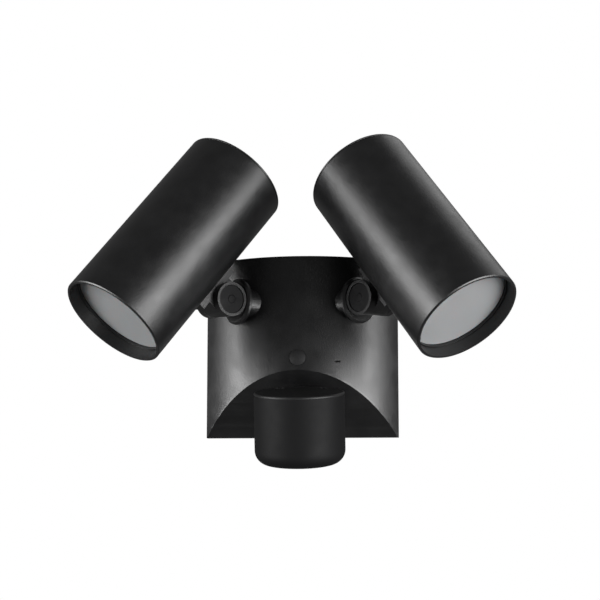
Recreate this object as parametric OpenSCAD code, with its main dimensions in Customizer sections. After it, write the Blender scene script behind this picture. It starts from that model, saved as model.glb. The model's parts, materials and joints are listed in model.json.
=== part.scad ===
// Twin-head motion-sensing floodlight for a wall junction box.
// Millimetres, +Z up, -Y out from the wall. The origin is the centre of the
// crossbar's two slots, on the wall plane.

/* [Canopy] */
// Width of the canopy
body_w = 127; // [118:1:152]
// Height of the canopy above the crossbar's centre
body_up = 66; // [62:1:90]
// Height of the canopy below the crossbar's centre
body_down = 50; // [44:1:62]
// Depth of the canopy at its middle, from the wall
body_d = 40; // [36:1:50]
// Depth of the canopy's flat sides, from the wall
side_d = 8; // [6:1:12]
// Height of the sloped underside
slope_rise = 42; // [36:1:46]
// Depth of the narrow flat lip below the sloped underside
lip_d = 0.8; // [0.6:0.1:2]
// Wall thickness of the cast canopy
wall_t = 2.2; // [1.8:0.1:3]
// Thickness of the wall gasket
gasket_t = 2; // [1:0.5:3]
// Width of the wall gasket's band
gasket_band = 6; // [4:0.5:7]

/* [Crossbar] */
// Distance between the two slots that the box screws pass
slot_spacing = 88.9; // [80:0.1:92]
// Length of each slot, end to end
slot_l = 12; // [8:0.5:14]
// Radius of a slot's round ends
slot_r = 2.25; // [2:0.05:3]
// Gap between each end of the crossbar and the gasket
bar_gap = 3.5; // [2:0.5:8]
// Height of the crossbar
bar_h = 18; // [14:1:24]
// Thickness of the crossbar
bar_t = 2; // [1.5:0.1:3]

/* [Centre bolt] */
// Shank radius of the centre bolt
bolt_r = 2; // [1.5:0.1:3]
// Head radius of the centre bolt
bolt_head_r = 3.8; // [3:0.1:5]
// Head height of the centre bolt
bolt_head_h = 3; // [2:0.1:4]
// Depth of the bolt head's seat below the canopy's front
bolt_seat = 11; // [8:0.5:16]
// Radius of the plug over the centre bolt
plug_r = 5.2; // [4.5:0.1:8]

/* [Knuckles] */
// Sideways distance of each knuckle's boss face from the middle
boss_x = 37.9; // [36:0.1:44]
// How far the middle of each boss face stands in front of the canopy
boss_proud = 6; // [5:0.1:9]
// Height of the knuckles above the crossbar's centre
boss_z = 36.8; // [30:0.1:44]
// Direction of each knuckle, outward from straight ahead
boss_turn = 48; // [40:1:52]
// Radius of the boss on the canopy
boss_r = 9.2; // [9:0.1:10.6]
// Distance from the boss face to the hinge axis
hinge_out = 15; // [14.5:0.1:18]
// Radius of the hinge's cheeks
cheek_r = 11; // [10:0.1:11.2]
// Thickness of each cheek
cheek_t = 5.3; // [5:0.1:7]
// Thickness of the tongue between the cheeks
tongue_w = 15; // [12:0.5:16]
// Radius of the tongue's round end
tongue_r = 10.8; // [9:0.1:10.9]
// Shank radius of the pivot bolt
pivot_r = 2; // [1.6:0.1:2.5]
// Radius of the swivel's hollow stem
stem_r = 6; // [5:0.5:7]
// Radius of the wire way through the stem
wireway_r = 3; // [2:0.5:3.5]

/* [Lamp heads] */
// Outer radius of a lamp head
tube_r = 34.75; // [31:0.25:35.5]
// Wall thickness of a lamp head
tube_t = 1.85; // [1.5:0.05:2.5]
// Length of a lamp head with its cap
head_l = 133; // [120:1:140]
// Distance from the hinge axis to the lamp's skin
arm_gap = 12.25; // [11.75:0.25:16]
// Rest aim of the lamps, below level
lamp_aim = 49.3; // [44:0.1:60]
// Rest turn of the lamps about their swivels, outward
lamp_turn = 2.5; // [0:0.5:4]
// Depth of the diffuser behind the lamp's rim
diffuser_deep = 10; // [6:0.5:14]
// Thickness of the diffuser
diffuser_t = 2.5; // [2:0.1:4]
// Thickness of the back cap's outer plate
cap_t = 1.5; // [1.2:0.1:3]
// Length of the arm's foot along the lamp
foot_l = 34; // [30:1:40]

/* [Sensor] */
// Radius of the sensor drum
pod_r = 28.5; // [24:0.5:29]
// Height of the sensor drum
pod_h = 45.5; // [44:0.5:52]
// Rest lean of the sensor drum, top outward
pod_lean = 11; // [8:1:14]
// Radius of the drum's rounded bottom edge
pod_round = 9; // [6:0.5:10]
// Height of the sensor's top cover
lid_h = 5; // [4.5:0.5:7]
// Place of the sensor's swivel, up the slope from its lower edge
swivel_up = 16; // [15:0.5:18]
// Distance from the slope to the sensor's hinge axis
eye_out = 8; // [8:0.1:10]
// Radius of the sensor's hinge lugs
lug_r = 5.5; // [5:0.1:5.6]
// Thickness of each hinge lug
lug_t = 6.1; // [5:0.1:7]
// Height of the drum's top above the hinge axis
eye_drop = 25.2; // [23:0.1:28]
// Radius of the time and sensitivity dials
dial_r = 3.6; // [3:0.1:4.5]

/* [Fits] */
// Radial clearance of a pin or stem that turns
run_fit = 0.06; // [0.03:0.01:0.1]
// Side clearance between faces that turn on each other
face_gap = 0.2; // [0.1:0.05:0.3]
// Clearance of pieces that are only set in place
loose_fit = 0.1; // [0.05:0.05:0.2]

/* [Hidden] */
$fn = 96;
BLACK = "#1d1d1e";
RUBBER = "#111112";
STEEL = "#a8a9ab";
ALLOY = "#b9bbbd";
BOARD = "#f0f0ea";
FROST = "#c9cacb";
far = 200;
half_w = body_w / 2;
body_h = body_up + body_down;
front_bow = body_d - side_d;
front_r = (half_w * half_w + front_bow * front_bow) / (2 * front_bow);
slope_turn = atan2(slope_rise, front_bow - lip_d);
bar_l = body_w - 2 * gasket_band - 2 * bar_gap;
boss_y = front_at(boss_x) + boss_proud;
boss_l = 26;
ground_x = 25;
pad_r = boss_r + 1.6;
pad_in = 13.5;
flange_r = 15;
flange_t = 3;
seal_t = 0.8;
cheek_in = tongue_w / 2 + face_gap;
cheek_out = cheek_in + cheek_t;
cap_seat_r = cheek_r - 1.8;
cap_seat_d = 1.4;
pivot_head_r = 3.5;
pivot_head_h = 2.2;
nut_r = 4.1;
nut_h = 3.2;
lock_t = 4;
lock_r = 9;
lock_z = -pad_in - 0.3 - lock_t;
stem_in = 2.5 - lock_z;
bore_r = tube_r - tube_t;
front_z = head_l / 2;
back_z = -head_l / 2;
joint_z = back_z + cap_t;
cap_seal_t = 0.4;
tube_back = joint_z + cap_seal_t;
spigot_l = 6;
lip_t = 1.2;
lip_r = bore_r - 0.7;
glass_z = front_z - diffuser_deep;
gasket_ring_t = 0.8;
plate_t = 6;
plate_z = glass_z - diffuser_t - 24.6;
board_t = 1.6;
chip_t = 0.8;
channel_r = 3.8;
channel_at = bore_r - 3.4;
channel_l = 14;
cap_screw_r = 1.25;
foot_t = 3.8;
foot_screw_y = 11;
foot_screw_r = 1.5;
arm_reach = arm_gap + tube_r;
pod_wall = 1.6;
pod_gap = 6.2;
lid_seal_t = 0.4;
lid_rim = 1.6;
lid_plug_r = pod_r - pod_wall - 0.3;
spine_w = 22;
spine_t = 5;
spine_low = -36;
pod_stem_r = 5;
pod_flange_r = 10;
post_at = [14, 18.5];
post_r = 4;
dial_at = 8.5;
pot_w = 6.8;
pot_h = 3;
control_z = -pod_h + 11;
driver_l = 64;
driver_d = 22;
driver_z = boss_z + pad_r + 0.6;
driver_h = body_up - wall_t - 1 - driver_z;
driver_y = -gasket_t - 5 - driver_d;
ear_l = 8;
ear_t = 3;
post_x = driver_l / 2 + ear_l / 2;
driver_post_r = 3.2;
tap_r = 1.3;
screw_head_r = 2.8;

// Distance from the wall to the canopy's front surface at a sideways place
function front_at(x) = body_d - front_r + sqrt(front_r * front_r - x * x);

// Frames. Each moves its children from a local frame to the object's frame.

// Right side as drawn, left side as its mirror image.
module on_side(left) {
    if (left) mirror([1, 0, 0]) children();
    else children();
}

// Boss face: Z out along the swivel, Y up, X outward and back.
module on_boss() {
    translate([boss_x, -boss_y, boss_z]) rotate([90, 0, boss_turn]) children();
}

module on_swivel() {
    on_boss() rotate([0, 0, lamp_turn]) children();
}

// Hinge axis along X; Z runs to the lamp, -Y is the way it shines.
module on_hinge() {
    on_swivel() translate([0, 0, hinge_out]) rotate([lamp_aim - 90, 0, 0]) children();
}

// Lamp's own axis along Z, front rim at front_z, hinge on the -Y side.
module on_lamp() {
    on_hinge() translate([0, 0, arm_reach]) rotate([90, 0, 0]) children();
}

// Sloped underside: Z out of the slope, Y up it, origin at the swivel.
module on_slope(up) {
    translate([0, -side_d - lip_d, -body_down]) rotate([180 - slope_turn, 0, 0])
        translate([0, up, 0]) children();
}

// Drum: Z along its axis, top face at Z = 0, hinge behind it.
module on_pod() {
    on_slope(swivel_up) translate([0, 0, eye_out]) rotate([pod_lean + slope_turn - 180, 0, 0])
        translate([face_gap + lug_t / 2, -pod_r - pod_gap, eye_drop]) children();
}

module along_x(from, to, r) {
    translate([from, 0, 0]) rotate([0, 90, 0]) cylinder(h = to - from, r = r);
}

module along_y(from, to, r) {
    translate([0, from, 0]) rotate([-90, 0, 0]) cylinder(h = to - from, r = r);
}

module ring(z, h, r_out, r_in) {
    translate([0, 0, z]) difference() {
        cylinder(h = h, r = r_out);
        translate([0, 0, -1]) cylinder(h = h + 2, r = r_in);
    }
}

module thirds(at) {
    for (i = [0:2]) rotate([0, 0, 90 + i * 120]) translate([at, 0, 0]) children();
}

// Canopy

module canopy_block(inset, y_back) {
    translate([0, 0, -body_down + inset]) linear_extrude(body_h - 2 * inset) intersection() {
        translate([0, front_r - body_d]) circle(r = front_r - inset);
        translate([-half_w + inset, -body_d]) square([body_w - 2 * inset, body_d + y_back]);
    }
}

module below_slope(inset) {
    on_slope(0) translate([-far / 2, -far / 2, -inset]) cube([far, far, far / 2]);
}

module canopy_shape(inset, y_back) {
    difference() {
        canopy_block(inset, y_back);
        below_slope(inset);
    }
}

module boss_pair() {
    for (left = [false, true]) on_side(left) on_boss() children();
}

module boss_outside() {
    edge = 1;
    translate([0, 0, -boss_l]) cylinder(h = boss_l - edge, r = boss_r);
    translate([0, 0, -edge]) cylinder(h = edge, r1 = boss_r, r2 = boss_r - edge);
}

module driver_posts(r, y_from, y_to) {
    for (x = [-post_x, post_x]) translate([x, 0, driver_z + driver_h / 2])
        along_y(y_from, y_to, r);
}

module housing() {
    sleeve_r = plug_r + 2;
    seat_y = -body_d + bolt_seat;
    ear_y = driver_y + driver_d - ear_t;
    notch_w = 3.4;
    notch_h = 1.2;
    color(BLACK) difference() {
        union() {
            difference() {
                union() {
                    canopy_shape(0, -gasket_t);
                    boss_pair() boss_outside();
                }
                canopy_shape(wall_t, far / 2);
            }
            intersection() {
                canopy_shape(0, -gasket_t);
                boss_pair() translate([0, 0, -pad_in]) cylinder(h = pad_in, r = pad_r);
            }
            along_y(-body_d + 1, seat_y + 3, sleeve_r);
            driver_posts(driver_post_r, 1 - front_at(post_x + driver_post_r), ear_y);
        }
        along_y(-body_d - 1, seat_y, plug_r - 0.4);
        along_y(-body_d - 1, seat_y + 5, bolt_r + 0.2);
        along_y(-body_d - 1, -body_d + 0.3, plug_r + 0.3);
        driver_posts(tap_r, ear_y - 8, ear_y + 1);
        boss_pair() translate([0, 0, -pad_in - 1]) cylinder(h = pad_in + 3, r = stem_r + run_fit);
        on_slope(swivel_up) translate([0, 0, -10]) cylinder(h = 12, r = pod_stem_r + run_fit);
        translate([24, -body_d, -3]) cube([notch_w, body_d / 8 + 0.4, notch_h]);
    }
}

module wall_gasket() {
    trim = 0.6;
    band = gasket_band;
    color(RUBBER) translate([0, -gasket_t, 0]) difference() {
        translate([-half_w + trim, 0, -body_down + trim])
            cube([body_w - 2 * trim, gasket_t, body_h - 2 * trim]);
        translate([-half_w + band, -1, -body_down + band])
            cube([body_w - 2 * band, gasket_t + 2, body_h - 2 * band]);
    }
}

module crossbar() {
    slot_half = slot_l / 2 - slot_r;
    color(STEEL) difference() {
        translate([-bar_l / 2, -bar_t, -bar_h / 2]) cube([bar_l, bar_t, bar_h]);
        for (x = [-slot_spacing / 2, slot_spacing / 2]) {
            for (end = [-slot_half, slot_half]) translate([x + end, 0, 0])
                along_y(-bar_t - 1, 1, slot_r);
            translate([x - slot_half, -bar_t - 1, -slot_r])
                cube([2 * slot_half, bar_t + 2, 2 * slot_r]);
        }
        along_y(-bar_t - 1, 1, bolt_r);
        translate([ground_x, 0, 0]) along_y(-bar_t - 1, 1, bolt_r - 0.1);
    }
}

module ground_screw() {
    color("#3f7d4a") translate([ground_x, 0, 0]) {
        along_y(-bar_t, -0.2, bolt_r - 0.1);
        difference() {
            along_y(-bar_t - 2.4, -bar_t, 4.2);
            translate([-5, -bar_t - 3, -0.5]) cube([10, 1.6, 1]);
        }
    }
}

module centre_bolt() {
    seat_y = -body_d + bolt_seat;
    color(STEEL) difference() {
        union() {
            along_y(seat_y, -0.3, bolt_r);
            along_y(seat_y - bolt_head_h, seat_y, bolt_head_r);
        }
        translate([-0.5, seat_y - bolt_head_h - 1, -bolt_head_r])
            cube([1, 2.2, 2 * bolt_head_r]);
        translate([-bolt_head_r, seat_y - bolt_head_h - 1, -0.5])
            cube([2 * bolt_head_r, 2.2, 1]);
    }
}

module bolt_plug() {
    rim = 0.6;
    dome = 1.2;
    dome_r = (plug_r * plug_r + dome * dome) / (2 * dome);
    color(RUBBER) {
        along_y(-body_d + 0.3 - rim, -body_d + 0.3, plug_r);
        along_y(-body_d + 0.3, -body_d + 5.3, plug_r - 0.4 - loose_fit);
        translate([0, -body_d + 0.3 - rim, 0]) rotate([90, 0, 0]) intersection() {
            cylinder(h = dome, r = plug_r);
            translate([0, 0, dome - dome_r]) sphere(r = dome_r);
        }
    }
}

module led_driver() {
    color("#e4e4e0") difference() {
        union() {
            translate([-driver_l / 2, driver_y, driver_z])
                cube([driver_l, driver_d, driver_h]);
            translate([-driver_l / 2 - ear_l, driver_y + driver_d - ear_t, driver_z + 3])
                cube([driver_l + 2 * ear_l, ear_t, driver_h - 6]);
        }
        driver_posts(1.7, -far / 4, 0);
        for (x = [-20, 0, 20]) translate([x, driver_y + driver_d / 2, driver_z - 1])
            cylinder(h = 5, r = 2.5);
    }
}

module driver_screws() {
    top = driver_y + driver_d;
    color(STEEL) {
        driver_posts(tap_r, top - ear_t - 6, top);
        driver_posts(screw_head_r, top, top + 2);
    }
}

// Knuckles

module stem_seal() {
    color(RUBBER) on_boss() ring(0, seal_t - 0.1, boss_r - 0.4, stem_r + 0.4);
}

module knuckle_solid() {
    bevel = 1.4;
    neck_r = cheek_r + 1.3;
    translate([0, 0, -stem_in]) cylinder(h = stem_in + 1, r = stem_r);
    translate([0, 0, seal_t]) cylinder(h = flange_t - bevel, r = flange_r);
    translate([0, 0, seal_t + flange_t - bevel])
        cylinder(h = bevel, r1 = flange_r, r2 = flange_r - bevel);
    translate([0, 0, seal_t]) cylinder(h = hinge_out / 2, r = neck_r);
    translate([0, 0, hinge_out]) along_x(-cheek_out, cheek_out, cheek_r);
}

module knuckle_base() {
    slot_floor = hinge_out - tongue_r - 0.3;
    color(BLACK) on_swivel() difference() {
        knuckle_solid();
        translate([-cheek_in, -far / 4, slot_floor]) cube([2 * cheek_in, far / 2, far / 2]);
        translate([0, 0, -stem_in - 1]) cylinder(h = stem_in + hinge_out, r = wireway_r);
        translate([0, 0, hinge_out]) {
            along_x(-cheek_out - 1, cheek_out + 1, pivot_r);
            along_x(-cheek_out - 1, -cheek_out + cap_seat_d, cap_seat_r);
            along_x(-cheek_out, -cheek_out + cap_seat_d + pivot_head_h, pivot_head_r + loose_fit);
            translate([cheek_out - nut_h, 0, 0]) rotate([0, 90, 0])
                cylinder(h = nut_h + 1, r = nut_r, $fn = 6);
        }
    }
}

module lock_nut() {
    color(STEEL) on_swivel() difference() {
        translate([0, 0, lock_z]) cylinder(h = lock_t, r = lock_r, $fn = 6);
        translate([0, 0, -stem_in - 1]) cylinder(h = stem_in, r = stem_r);
    }
}

module pivot_bolt() {
    head_in = -cheek_out + cap_seat_d + pivot_head_h;
    color(STEEL) on_swivel() translate([0, 0, hinge_out]) difference() {
        union() {
            along_x(head_in, cheek_out - 0.6, pivot_r);
            along_x(head_in - pivot_head_h, head_in, pivot_head_r);
        }
        translate([head_in - pivot_head_h - 1, 0, 0]) rotate([0, 90, 0])
            cylinder(h = 2.4, r = 1.5, $fn = 6);
    }
}

module pivot_nut() {
    color(STEEL) on_swivel() translate([cheek_out - nut_h, 0, hinge_out])
        rotate([0, 90, 0]) difference() {
            cylinder(h = nut_h - 0.3, r = nut_r - loose_fit, $fn = 6);
            translate([0, 0, -1]) cylinder(h = nut_h + 2, r = pivot_r);
        }
}

module pivot_cap() {
    face = 0.9;
    edge = 0.3;
    spot_r = 2.4;
    spot_h = 0.4;
    r = cap_seat_r - loose_fit;
    color(BLACK) on_swivel() translate([-cheek_out + cap_seat_d, 0, hinge_out])
        rotate([0, -90, 0]) rotate_extrude() polygon([
            [0, 0], [r, 0], [r, face - edge], [r - edge, face],
            [spot_r + spot_h, face], [spot_r, face + spot_h], [0, face + spot_h],
        ]);
}

module arm() {
    neck_l = 2 * tongue_r;
    half = tongue_w / 2;
    color(BLACK) on_hinge() difference() {
        union() {
            along_x(-half, half, tongue_r);
            translate([-half, -neck_l / 2, 0]) cube([tongue_w, neck_l, arm_gap + 2]);
            translate([-half, -foot_l / 2, arm_gap - foot_t]) cube([tongue_w, foot_l, foot_t + 2]);
        }
        translate([0, 0, arm_reach]) along_y(-far / 2, far / 2, tube_r);
        along_x(-half - 1, half + 1, pivot_r + run_fit);
        translate([0, -6, -tongue_r - 1]) cylinder(h = tongue_r + arm_gap + 4, r = 2);
        for (y = [-foot_screw_y, foot_screw_y]) translate([0, y, arm_gap - foot_t - 1])
            cylinder(h = foot_t + 4, r = foot_screw_r);
    }
}

module arm_screws() {
    seat = arm_reach - bore_r;
    color(STEEL) on_hinge() for (y = [-foot_screw_y, foot_screw_y]) translate([0, y, 0])
        difference() {
            union() {
                translate([0, 0, arm_gap - foot_t + 0.4])
                    cylinder(h = seat - arm_gap + foot_t, r = foot_screw_r);
                translate([0, 0, seat + 0.2]) cylinder(h = 2, r = 3);
            }
            translate([-4, -0.4, seat + 1.4]) cube([8, 0.8, 2]);
        }
}

// Lamp heads

module tube() {
    edge = 0.6;
    color(BLACK) on_lamp() difference() {
        union() {
            ring(tube_back, front_z - edge - tube_back, tube_r, bore_r);
            translate([0, 0, front_z - edge]) difference() {
                cylinder(h = edge, r1 = tube_r, r2 = tube_r - edge);
                translate([0, 0, -1]) cylinder(h = edge + 2, r = bore_r);
            }
            ring(glass_z + gasket_ring_t, lip_t, bore_r + 0.5, lip_r);
            intersection() {
                thirds(channel_at) translate([0, 0, tube_back + spigot_l])
                    cylinder(h = channel_l, r = channel_r);
                cylinder(h = far, r = bore_r + 0.5, center = true);
            }
        }
        thirds(channel_at) translate([0, 0, tube_back])
            cylinder(h = spigot_l + channel_l, r = cap_screw_r);
        for (z = [-foot_screw_y, foot_screw_y]) translate([0, -tube_r, z])
            along_y(-2, tube_t + 2, foot_screw_r + 0.2);
        translate([0, -tube_r, 6]) along_y(-2, tube_t + 2, 2);
    }
}

module back_cap() {
    edge = 0.7;
    color(BLACK) on_lamp() difference() {
        union() {
            translate([0, 0, back_z]) cylinder(h = edge, r1 = tube_r - edge, r2 = tube_r);
            translate([0, 0, back_z + edge]) cylinder(h = cap_t - edge, r = tube_r);
            translate([0, 0, joint_z]) cylinder(h = spigot_l, r = bore_r - loose_fit);
        }
        translate([0, 0, back_z + 3]) cylinder(h = far, r = bore_r - 8);
        thirds(channel_at) {
            translate([0, 0, back_z - 1]) cylinder(h = far, r = cap_screw_r + 0.25);
            translate([0, 0, back_z - 1]) cylinder(h = 3.4, r = 2.8);
        }
    }
}

module cap_seal() {
    color(RUBBER) on_lamp() ring(joint_z, cap_seal_t, tube_r - 0.6, bore_r + loose_fit);
}

module cap_screws() {
    color(STEEL) on_lamp() thirds(channel_at) difference() {
        union() {
            translate([0, 0, back_z + 0.6]) cylinder(h = 1.8, r = 2.6);
            translate([0, 0, back_z + 2.4]) cylinder(h = 18, r = cap_screw_r);
        }
        translate([-0.35, -3, back_z]) cube([0.7, 6, 1.4]);
        translate([-3, -0.35, back_z]) cube([6, 0.7, 1.4]);
    }
}

module heat_sink() {
    fin_l = 24;
    fin_t = 1.8;
    color(ALLOY) on_lamp() difference() {
        union() {
            translate([0, 0, plate_z]) cylinder(h = plate_t, r = bore_r - loose_fit);
            intersection() {
                for (x = [-24:8:24]) translate([x - fin_t / 2, -far / 2, plate_z - fin_l])
                    cube([fin_t, far, fin_l + 1]);
                translate([0, 0, plate_z - fin_l]) cylinder(h = fin_l + 1, r = bore_r - 4);
            }
        }
        translate([4, 0, plate_z - fin_l - 1]) cylinder(h = far, r = 2);
    }
}

module led_board() {
    color(BOARD) on_lamp() difference() {
        translate([0, 0, plate_z + plate_t]) cylinder(h = board_t, r = bore_r - 4);
        translate([4, 0, plate_z]) cylinder(h = far, r = 2);
    }
}

module led_chips() {
    chip = 3.5;
    z = plate_z + plate_t + board_t;
    color("#f4d84a") on_lamp() for (i = [0:8]) rotate([0, 0, i * 40])
        translate([16 - chip / 2, -chip / 2, z]) cube([chip, chip, chip_t]);
}

module reflector() {
    skin = 1;
    low = plate_z + plate_t + board_t;
    high = glass_z - diffuser_t;
    r_low = bore_r - 7;
    r_high = bore_r - loose_fit - skin;
    color(BOARD) on_lamp() rotate_extrude() polygon([
        [r_low, low],
        [r_low + skin, low],
        [r_high + skin, high - 2],
        [r_high + skin, high],
        [r_high, high],
        [r_high, high - 2],
    ]);
}

module diffuser() {
    color(FROST) on_lamp() translate([0, 0, glass_z - diffuser_t])
        cylinder(h = diffuser_t, r = bore_r - loose_fit);
}

module diffuser_gasket() {
    color(RUBBER) on_lamp() ring(glass_z, gasket_ring_t, bore_r - loose_fit, lip_r);
}

// Sensor

module sensor_swivel() {
    top_edge = 0.5;
    lug_out = face_gap + lug_t;
    color(BLACK) on_slope(swivel_up) difference() {
        union() {
            translate([0, 0, -11]) cylinder(h = 12, r = pod_stem_r);
            translate([0, 0, 0.3]) cylinder(h = 1.2, r = pod_flange_r);
            translate([0, 0, 1.5])
                cylinder(h = top_edge, r1 = pod_flange_r, r2 = pod_flange_r - top_edge);
            intersection() {
                translate([-lug_out, -lug_r, 1]) cube([lug_t, 2 * lug_r, eye_out - 1]);
                cylinder(h = far, r = pod_flange_r - 1);
            }
            translate([0, 0, eye_out]) along_x(-lug_out, -face_gap, lug_r);
        }
        translate([0, 0, eye_out]) along_x(-far, far, pivot_r);
        translate([1.2, 0, -12]) cylinder(h = far / 2, r = 2);
    }
}

module sensor_swivel_nut() {
    color(STEEL) on_slope(swivel_up) difference() {
        translate([0, 0, -wall_t - 0.3 - 3]) cylinder(h = 3, r = 8.5, $fn = 6);
        translate([0, 0, -12]) cylinder(h = 12, r = pod_stem_r);
    }
}

module sensor_pivot_screw() {
    out = face_gap + lug_t;
    color(STEEL) on_slope(swivel_up) translate([0, 0, eye_out]) difference() {
        union() {
            along_x(-out, out + 0.3, pivot_r);
            along_x(-out - 2, -out, 3.4);
        }
        translate([-out - 2.5, -4, -0.4]) cube([1.5, 8, 0.8]);
    }
}

module drum(z_low, z_high, inset) {
    translate([0, 0, z_low]) cylinder(h = z_high - z_low, r = pod_r - inset);
}

module sensor_cover() {
    edge = 1.3;
    eye_y = pod_r + pod_gap;
    color(BLACK) on_pod() difference() {
        union() {
            rotate_extrude() polygon(concat(
                [[0, -lid_h], [lid_plug_r, -lid_h], [lid_plug_r, -lid_rim], [pod_r, -lid_rim]],
                [for (a = [0:10:90]) [pod_r - edge + edge * cos(a), -edge + edge * sin(a)]],
                [[0, 0]]));
            intersection() {
                drum(spine_low, -lid_h + 1, 0);
                translate([-spine_w / 2, pod_r - spine_t, spine_low])
                    cube([spine_w, spine_t, -spine_low]);
            }
            translate([-lug_t / 2, pod_r - 2.5, -eye_drop - lug_r])
                cube([lug_t, pod_gap + 2.5, 2 * lug_r]);
            translate([0, eye_y, -eye_drop]) along_x(-lug_t / 2, lug_t / 2, lug_r);
        }
        translate([0, 0, -lid_h - 1]) cylinder(h = lid_h - 1, r = pod_r - 5.5);
        translate([0, eye_y, -eye_drop]) along_x(-lug_t, lug_t, pivot_r + run_fit);
        for (x = [-post_at[0], post_at[0]]) translate([x, post_at[1], -lid_h - 1]) {
            cylinder(h = lid_h + 2, r = 1.5);
            translate([0, 0, lid_h - 1]) cylinder(h = 4, r = 3);
        }
    }
}

module cup_profile(inset) {
    r = pod_r - inset;
    low = -pod_h + inset;
    high = -lid_rim - lid_seal_t;
    bend = pod_round - inset;
    polygon(concat(
        [[0, high], [0, low]],
        [for (a = [-90:10:0]) [r - bend + bend * cos(a), low + bend + bend * sin(a)]],
        [[r, high]]));
}

module sensor_lens() {
    color("#161617") on_pod() difference() {
        union() {
            difference() {
                rotate_extrude() cup_profile(0);
                translate([0, 0, 0.01]) rotate_extrude() cup_profile(pod_wall);
            }
            intersection() {
                for (x = [-post_at[0], post_at[0]]) translate([x, post_at[1], control_z])
                    cylinder(h = -lid_h - lid_seal_t - control_z, r = post_r);
                drum(-pod_h, 0, pod_wall / 2);
            }
        }
        translate([-spine_w / 2 - loose_fit, pod_r - spine_t - loose_fit, spine_low - loose_fit])
            cube([spine_w + 2 * loose_fit, 2 * spine_t, -spine_low + 4]);
        for (x = [-post_at[0], post_at[0]]) translate([x, post_at[1], control_z + 2])
            cylinder(h = far, r = tap_r);
        for (x = [-dial_at, dial_at]) translate([x, 0, -pod_h - 1])
            cylinder(h = pod_wall + 2, r = dial_r + 0.3);
    }
}

module sensor_seal() {
    color(RUBBER) on_pod() difference() {
        ring(-lid_rim - lid_seal_t, lid_seal_t, pod_r - 0.4, lid_plug_r + 0.4);
        translate([-spine_w / 2 - 1, pod_r - spine_t - 1, -lid_h - 2])
            cube([spine_w + 2, 2 * spine_t, 4]);
    }
}

module sensor_screws() {
    top = -2;
    color(STEEL) on_pod() for (x = [-post_at[0], post_at[0]]) translate([x, post_at[1], 0])
        difference() {
            union() {
                translate([0, 0, top]) cylinder(h = 1.7, r = 2.7);
                translate([0, 0, -22]) cylinder(h = 22 + top, r = tap_r);
            }
            translate([-0.4, -3, top + 0.9]) cube([0.8, 6, 1]);
            translate([-3, -0.4, top + 0.9]) cube([6, 0.8, 1]);
        }
}

module sensor_board() {
    color("#2c6b45") on_pod() {
        difference() {
            translate([0, 0, control_z]) cylinder(h = board_t, r = pod_r - pod_wall - 1);
            translate([-far / 2, 12, control_z - 1]) cube([far, far, board_t + 2]);
        }
        for (x = [-dial_at, dial_at]) translate([x - pot_w / 2, -pot_w / 2, control_z - pot_h])
            cube([pot_w, pot_w, pot_h]);
        translate([-7, -4, control_z + board_t]) cube([14, 6, 12]);
    }
}

module pir_element() {
    can_r = 4.6;
    color(STEEL) on_pod() translate([0, 0, control_z + board_t + 6]) {
        along_y(-8.2, -4.6, can_r);
        along_y(-4.6, -4, can_r + 0.6);
    }
}

module dial(x) {
    stem_l = pod_h + control_z - pot_h - 0.3;
    notch = 0.8;
    color("#2b2b2d") on_pod() translate([x, 0, -pod_h]) difference() {
        union() {
            translate([0, 0, 0.4]) cylinder(h = 3, r = dial_r);
            translate([0, 0, 3]) cylinder(h = stem_l - 3, r = 1.6);
        }
        translate([-dial_r, -0.5, -1]) cube([2 * dial_r, 1, 2.2]);
        translate([-notch / 2, 0, -1]) cube([notch, dial_r + 1, 1 + notch]);
    }
}

housing();
wall_gasket();
crossbar();
ground_screw();
centre_bolt();
bolt_plug();
led_driver();
driver_screws();
on_side(true) stem_seal();  // left_stem_seal
on_side(false) stem_seal();  // right_stem_seal
on_side(true) knuckle_base();  // left_knuckle_base
on_side(false) knuckle_base();  // right_knuckle_base
on_side(true) lock_nut();  // left_lock_nut
on_side(false) lock_nut();  // right_lock_nut
on_side(true) pivot_bolt();  // left_pivot_bolt
on_side(false) pivot_bolt();  // right_pivot_bolt
on_side(true) pivot_nut();  // left_pivot_nut
on_side(false) pivot_nut();  // right_pivot_nut
on_side(true) pivot_cap();  // left_pivot_cap
on_side(false) pivot_cap();  // right_pivot_cap
on_side(true) arm();  // left_arm
on_side(false) arm();  // right_arm
on_side(true) arm_screws();  // left_arm_screws
on_side(false) arm_screws();  // right_arm_screws
on_side(true) tube();  // left_tube
on_side(false) tube();  // right_tube
on_side(true) back_cap();  // left_back_cap
on_side(false) back_cap();  // right_back_cap
on_side(true) cap_seal();  // left_cap_seal
on_side(false) cap_seal();  // right_cap_seal
on_side(true) cap_screws();  // left_cap_screws
on_side(false) cap_screws();  // right_cap_screws
on_side(true) heat_sink();  // left_heat_sink
on_side(false) heat_sink();  // right_heat_sink
on_side(true) led_board();  // left_led_board
on_side(false) led_board();  // right_led_board
on_side(true) led_chips();  // left_led_chips
on_side(false) led_chips();  // right_led_chips
on_side(true) reflector();  // left_reflector
on_side(false) reflector();  // right_reflector
on_side(true) diffuser();  // left_diffuser
on_side(false) diffuser();  // right_diffuser
on_side(true) diffuser_gasket();  // left_diffuser_gasket
on_side(false) diffuser_gasket();  // right_diffuser_gasket
sensor_swivel();
sensor_swivel_nut();
sensor_pivot_screw();
sensor_cover();
sensor_lens();
sensor_seal();
sensor_screws();
sensor_board();
pir_element();
dial(-dial_at);  // time_dial
dial(dial_at);  // sensitivity_dial
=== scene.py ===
import json
import math

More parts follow.
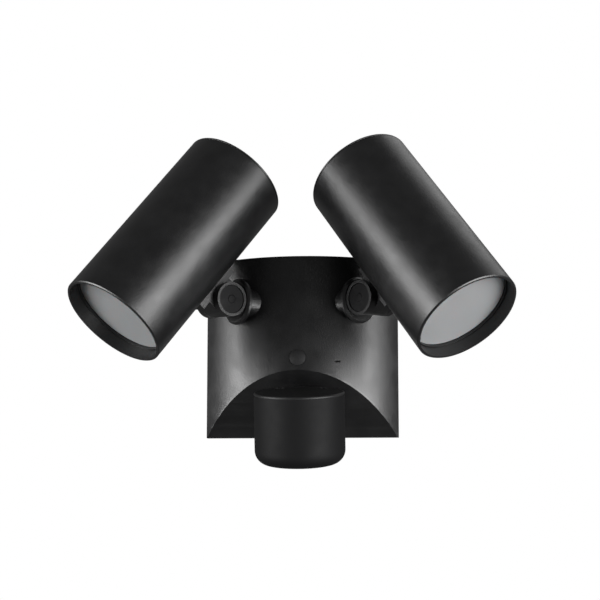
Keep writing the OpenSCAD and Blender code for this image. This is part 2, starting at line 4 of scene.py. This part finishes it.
import bmesh
import bpy
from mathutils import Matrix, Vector


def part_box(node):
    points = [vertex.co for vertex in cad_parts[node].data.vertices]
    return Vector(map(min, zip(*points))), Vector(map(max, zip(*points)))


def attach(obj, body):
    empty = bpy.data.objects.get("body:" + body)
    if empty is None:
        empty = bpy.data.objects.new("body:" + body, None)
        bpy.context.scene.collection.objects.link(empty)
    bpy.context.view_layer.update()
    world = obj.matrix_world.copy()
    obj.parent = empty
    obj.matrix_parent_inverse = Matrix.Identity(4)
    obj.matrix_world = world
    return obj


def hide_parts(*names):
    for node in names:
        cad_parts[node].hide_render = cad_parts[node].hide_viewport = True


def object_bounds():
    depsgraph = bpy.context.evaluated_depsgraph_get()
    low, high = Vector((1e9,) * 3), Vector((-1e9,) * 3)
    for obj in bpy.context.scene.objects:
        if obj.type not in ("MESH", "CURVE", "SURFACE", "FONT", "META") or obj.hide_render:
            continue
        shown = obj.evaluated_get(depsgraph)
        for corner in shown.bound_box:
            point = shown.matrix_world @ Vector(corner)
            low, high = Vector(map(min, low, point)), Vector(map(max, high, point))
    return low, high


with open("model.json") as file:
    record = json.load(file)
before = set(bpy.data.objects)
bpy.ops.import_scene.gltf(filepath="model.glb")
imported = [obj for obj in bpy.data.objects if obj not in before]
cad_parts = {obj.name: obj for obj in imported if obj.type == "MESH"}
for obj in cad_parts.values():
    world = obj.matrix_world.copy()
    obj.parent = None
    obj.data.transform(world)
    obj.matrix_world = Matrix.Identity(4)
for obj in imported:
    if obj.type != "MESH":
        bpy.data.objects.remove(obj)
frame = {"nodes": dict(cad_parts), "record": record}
cad_low, cad_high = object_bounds()
NODES = frame["nodes"]
RECORD = frame["record"]
SLOT_OF = {part["node"]: part["material_slot"] for part in RECORD["subparts"]}
BODY_OF = {
    node: body
    for body, nodes in RECORD["behaviour"]["bodies"].items()
    for node in nodes
}
SIDES = ("left", "right")
MM = 0.001

# Edges and smooth shading
SHARP_ANGLE = math.radians(32)
FLAT_ANGLE = math.radians(0.5)
WELD_GAP = 0.001 * MM
BEVEL_SEGMENTS = 3
HOUSING_STEP = 2.0
# Heights just above and below the pry slot in the canopy's front
SLOT_EDGES = [-3.2 * MM, -1.6 * MM]


# Camera, world, lights and floor


def direction(azimuth, elevation):
    """Unit vector from the object, azimuth from -Y towards +X, both in degrees."""
    a, e = math.radians(azimuth), math.radians(elevation)
    return Vector((math.sin(a) * math.cos(e), -math.cos(a) * math.cos(e), math.sin(e)))


def aim(thing, centre, back, distance):
    """Stand a camera or light off from the centre, facing it."""
    thing.location = centre + back * distance
    thing.rotation_mode = "QUATERNION"
    thing.rotation_quaternion = (-back).to_track_quat("-Z", "Y")


def make_camera(azimuth=5.39, elevation=-7.76, distance=0.995, lens=92.9):
    target = Vector((0.0021, -0.045, 0.0365))
    data = bpy.data.cameras.new("camera")
    data.sensor_width = 36
    data.lens = lens
    camera = bpy.data.objects.new("camera", data)
    bpy.context.scene.collection.objects.link(camera)
    aim(camera, target, direction(azimuth, elevation), distance)
    bpy.context.scene.camera = camera


def make_world(seen=1.0, ambient=0.15):
    """White behind the object, and a dim even light on it."""
    world = bpy.data.worlds.new("studio")
    bpy.context.scene.world = world
    world.use_nodes = True
    tree = world.node_tree
    tree.nodes.clear()
    out = tree.nodes.new("ShaderNodeOutputWorld")
    mix = tree.nodes.new("ShaderNodeMixShader")
    path = tree.nodes.new("ShaderNodeLightPath")
    tree.links.new(path.outputs["Is Camera Ray"], mix.inputs[0])
    for index, level in ((1, ambient), (2, seen)):
        background = tree.nodes.new("ShaderNodeBackground")
        background.inputs["Color"].default_value = (1, 1, 1, 1)
        background.inputs["Strength"].default_value = level
        tree.links.new(background.outputs[0], mix.inputs[index])
    tree.links.new(mix.outputs[0], out.inputs["Surface"])


def softbox(name, azimuth, elevation, width, height, radiance, distance=1.7):
    data = bpy.data.lights.new(name, "AREA")
    data.shape = "RECTANGLE"
    data.size = width
    data.size_y = height
    data.energy = radiance * math.pi * width * height
    light = bpy.data.objects.new(name, data)
    bpy.context.scene.collection.objects.link(light)
    aim(light, (cad_low + cad_high) / 2, direction(azimuth, elevation), distance)


def make_lights():
    softbox("softbox_left", -64, -4, 1.15, 1.4, 11.5)
    softbox("softbox_right", 58, -10, 1.35, 1.4, 12.8)
    softbox("softbox_rear", 142, 45, 1.0, 1.0, 1.2)


def make_floor(radius=4.0, drop=1.6, glow=0.62):
    """A pale floor with a faint glow of its own, which lights nothing on the object."""
    mesh = bpy.data.meshes.new("floor")
    shape = bmesh.new()
    bmesh.ops.create_circle(shape, cap_ends=True, segments=96, radius=radius)
    shape.to_mesh(mesh)
    shape.free()
    floor = bpy.data.objects.new("floor", mesh)
    bpy.context.scene.collection.objects.link(floor)
    floor.location = (0, 0, cad_low.z - drop)
    material = surface("floor", (0.80, 0.80, 0.79), 0.7, grain=40, bump=0.02)
    shader = material.node_tree.nodes["Principled BSDF"]
    shader.inputs["Emission Color"].default_value = (1, 1, 1, 1)
    shader.inputs["Emission Strength"].default_value = glow
    floor.data.materials.append(material)
    floor.visible_glossy = False
    floor.visible_diffuse = False


# Materials

# Noise values that count as the least and the most
NOISE_LOW = 0.3
NOISE_HIGH = 0.7
SCATTER_DEPTH = 2.0 * MM


def noise_node(tree, scale, stretch=None, detail=3.0):
    coords = tree.nodes.new("ShaderNodeTexCoord")
    noise = tree.nodes.new("ShaderNodeTexNoise")
    noise.inputs["Scale"].default_value = scale
    noise.inputs["Detail"].default_value = detail
    source = coords.outputs["Object"]
    if stretch:
        mapping = tree.nodes.new("ShaderNodeMapping")
        mapping.inputs["Scale"].default_value = stretch
        tree.links.new(source, mapping.inputs["Vector"])
        source = mapping.outputs["Vector"]
    tree.links.new(source, noise.inputs["Vector"])
    return noise.outputs["Fac"]


def spread(tree, source, low, high):
    node = tree.nodes.new("ShaderNodeMapRange")
    node.inputs["From Min"].default_value = NOISE_LOW
    node.inputs["From Max"].default_value = NOISE_HIGH
    node.inputs["To Min"].default_value = low
    node.inputs["To Max"].default_value = high
    tree.links.new(source, node.inputs["Value"])
    return node.outputs["Result"]


def tint(tree, source, low, high):
    ramp = tree.nodes.new("ShaderNodeValToRGB")
    ramp.color_ramp.elements[0].position = NOISE_LOW
    ramp.color_ramp.elements[0].color = (*low, 1)
    ramp.color_ramp.elements[1].position = NOISE_HIGH
    ramp.color_ramp.elements[1].color = (*high, 1)
    tree.links.new(source, ramp.inputs["Fac"])
    return ramp.outputs["Color"]


def surface(
    name,
    color,
    rough,
    metal=0.0,
    color_spread=0.06,
    rough_spread=0.05,
    grain=2500.0,
    bump=0.1,
    depth=0.05,
    stretch=None,
    cloud=60.0,
    gloss=0.5,
    subsurface=0.0,
):
    """A moulded, cast or machined surface, with cloudy colour and gloss and a fine raised grain."""
    material = bpy.data.materials.new(name)
    material.use_nodes = True
    tree = material.node_tree
    shader = tree.nodes["Principled BSDF"]
    shader.inputs["Metallic"].default_value = metal
    shader.inputs["Specular IOR Level"].default_value = gloss
    shader.inputs["Subsurface Weight"].default_value = subsurface
    shader.inputs["Subsurface Scale"].default_value = SCATTER_DEPTH
    clouds = noise_node(tree, cloud)
    low = [c * (1 - color_spread) for c in color]
    high = [c * (1 + color_spread) for c in color]
    tree.links.new(tint(tree, clouds, low, high), shader.inputs["Base Color"])
    fine = noise_node(tree, grain, stretch)
    both = tree.nodes.new("ShaderNodeMath")
    both.operation = "ADD"
    tree.links.new(spread(tree, clouds, rough - rough_spread, rough + rough_spread), both.inputs[0])
    tree.links.new(spread(tree, fine, -0.5 * rough_spread, 0.5 * rough_spread), both.inputs[1])
    tree.links.new(both.outputs[0], shader.inputs["Roughness"])
    relief = tree.nodes.new("ShaderNodeBump")
    relief.inputs["Strength"].default_value = bump
    relief.inputs["Distance"].default_value = depth * MM
    tree.links.new(fine, relief.inputs["Height"])
    tree.links.new(relief.outputs["Normal"], shader.inputs["Normal"])
    return material


# Each finish: colour, roughness and what differs from a plain surface
LOOKS = {
    "black_coat": dict(
        color=(0.0032, 0.0032, 0.0034), rough=0.37, grain=1500, bump=0.9, depth=0.09, cloud=90,
    ),
    "foam": dict(color=(0.018, 0.018, 0.019), rough=0.9, grain=1600, bump=0.8, depth=0.2),
    "zinc_steel": dict(
        color=(0.56, 0.56, 0.57), rough=0.32, metal=1.0, grain=900, bump=0.15,
        stretch=(1, 6, 1), rough_spread=0.08,
    ),
    "green_steel": dict(color=(0.03, 0.2, 0.07), rough=0.35, metal=0.7, grain=900, bump=0.15),
    "black_rubber": dict(
        color=(0.006, 0.006, 0.0063), rough=0.7, gloss=0.25, grain=1800, bump=0.3,
    ),
    "driver_case": dict(
        color=(0.66, 0.66, 0.63), rough=0.5, grain=1500, bump=0.3, color_spread=0.03,
    ),
    "black_plastic": dict(
        color=(0.003, 0.003, 0.0032), rough=0.55, gloss=0.12, grain=1500, bump=0.2,
    ),
    "black_screw": dict(color=(0.05, 0.05, 0.052), rough=0.42, metal=1.0, grain=1500, bump=0.2),
    "bare_aluminium": dict(
        color=(0.6, 0.61, 0.62), rough=0.38, metal=1.0, grain=700, bump=0.2, stretch=(1, 1, 8),
        rough_spread=0.08,
    ),
    "white_board": dict(
        color=(0.78, 0.78, 0.75), rough=0.35, grain=900, bump=0.1, color_spread=0.02,
    ),
    "phosphor": dict(color=(0.8, 0.6, 0.12), rough=0.45, grain=3000, bump=0.3),
    "white_plastic": dict(
        color=(0.8, 0.8, 0.78), rough=0.4, grain=1500, bump=0.15, color_spread=0.02,
    ),
    "frosted": dict(
        color=(0.172, 0.175, 0.178), rough=0.5, grain=1300, bump=0.35, depth=0.08,
        color_spread=0.03, subsurface=0.15,
    ),
    "sensor_plastic": dict(
        color=(0.004, 0.004, 0.0042), rough=0.5, gloss=0.3, grain=1700, bump=0.2,
    ),
    "sensor_window": dict(
        color=(0.003, 0.003, 0.0032), rough=0.62, gloss=0.1, grain=1900, bump=0.12,
    ),
    "green_board": dict(
        color=(0.02, 0.13, 0.05), rough=0.35, grain=600, bump=0.2, color_spread=0.15,
    ),
    "dial_plastic": dict(color=(0.025, 0.025, 0.026), rough=0.45, grain=1500, bump=0.2),
}


def make_materials():
    return {name: surface(name, **look) for name, look in LOOKS.items()}


# CAD nodes


# Width of the rounded edges in millimetres, for nodes of either side
BEVELS = {
    "housing": 0.45,
    "knuckle_base": 0.35,
    "arm": 0.35,
    "sensor_cover": 0.3,
    "sensor_lens": 0.15,
    "sensor_swivel": 0.3,
    "back_cap": 0.2,
    "tube": 0.2,
    "pivot_cap": 0.15,
    "led_driver": 0.8,
    "heat_sink": 0.2,
    "crossbar": 0.25,
    "lock_nut": 0.25,
    "time_dial": 0.12,
    "sensitivity_dial": 0.12,
}


def plain_name(node):
    for side in SIDES:
        if node.startswith(side + "_"):
            return node[len(side) + 1:]
    return node


def piece_for(nodes, name, mesh, materials):
    """A shown piece that stands for CAD nodes of one body and takes their finish."""
    first = nodes[0]
    mesh.materials.append(materials[SLOT_OF[first]])
    piece = bpy.data.objects.new(name, mesh)
    bpy.context.scene.collection.objects.link(piece)
    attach(piece, BODY_OF[first])
    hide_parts(*nodes)
    return piece


def round_edges(piece, width):
    piece.data.shade_smooth()
    piece.data.set_sharp_from_angle(angle=SHARP_ANGLE)
    bevel = piece.modifiers.new("bevel", "BEVEL")
    bevel.width = width * MM
    bevel.segments = BEVEL_SEGMENTS
    bevel.limit_method = "ANGLE"
    bevel.angle_limit = SHARP_ANGLE
    bevel.use_clamp_overlap = True
    bevel.harden_normals = True


def refined(node, width, materials, step=None):
    """The CAD node's shape with clean faces and rounded edges, for the line of light along them."""
    shape = bmesh.new()
    shape.from_mesh(NODES[node].data)
    bmesh.ops.remove_doubles(shape, verts=shape.verts, dist=WELD_GAP)
    bmesh.ops.dissolve_limit(
        shape, angle_limit=FLAT_ANGLE, verts=shape.verts, edges=shape.edges
    )
    if step:
        low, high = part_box(node)
        levels = [low.z + n * step * MM for n in range(1, int((high.z - low.z) / (step * MM)))]
        for z in levels + SLOT_EDGES:
            bmesh.ops.bisect_plane(
                shape,
                geom=shape.verts[:] + shape.edges[:] + shape.faces[:],
                plane_co=(0, 0, z),
                plane_no=(0, 0, 1),
            )
    mesh = bpy.data.meshes.new(node + "_finished")
    shape.to_mesh(mesh)
    shape.free()
    round_edges(piece_for([node], node + "_finished", mesh, materials), width)


def finish_nodes(materials):
    for node, obj in NODES.items():
        obj.data.materials.clear()
        obj.data.materials.append(materials[SLOT_OF[node]])
        width = BEVELS.get(plain_name(node))
        if width:
            refined(node, width, materials, step=HOUSING_STEP if node == "housing" else None)


make_camera()
materials = make_materials()
finish_nodes(materials)
make_world()
make_lights()
make_floor()
bpy.context.scene.view_settings.view_transform = "Standard"
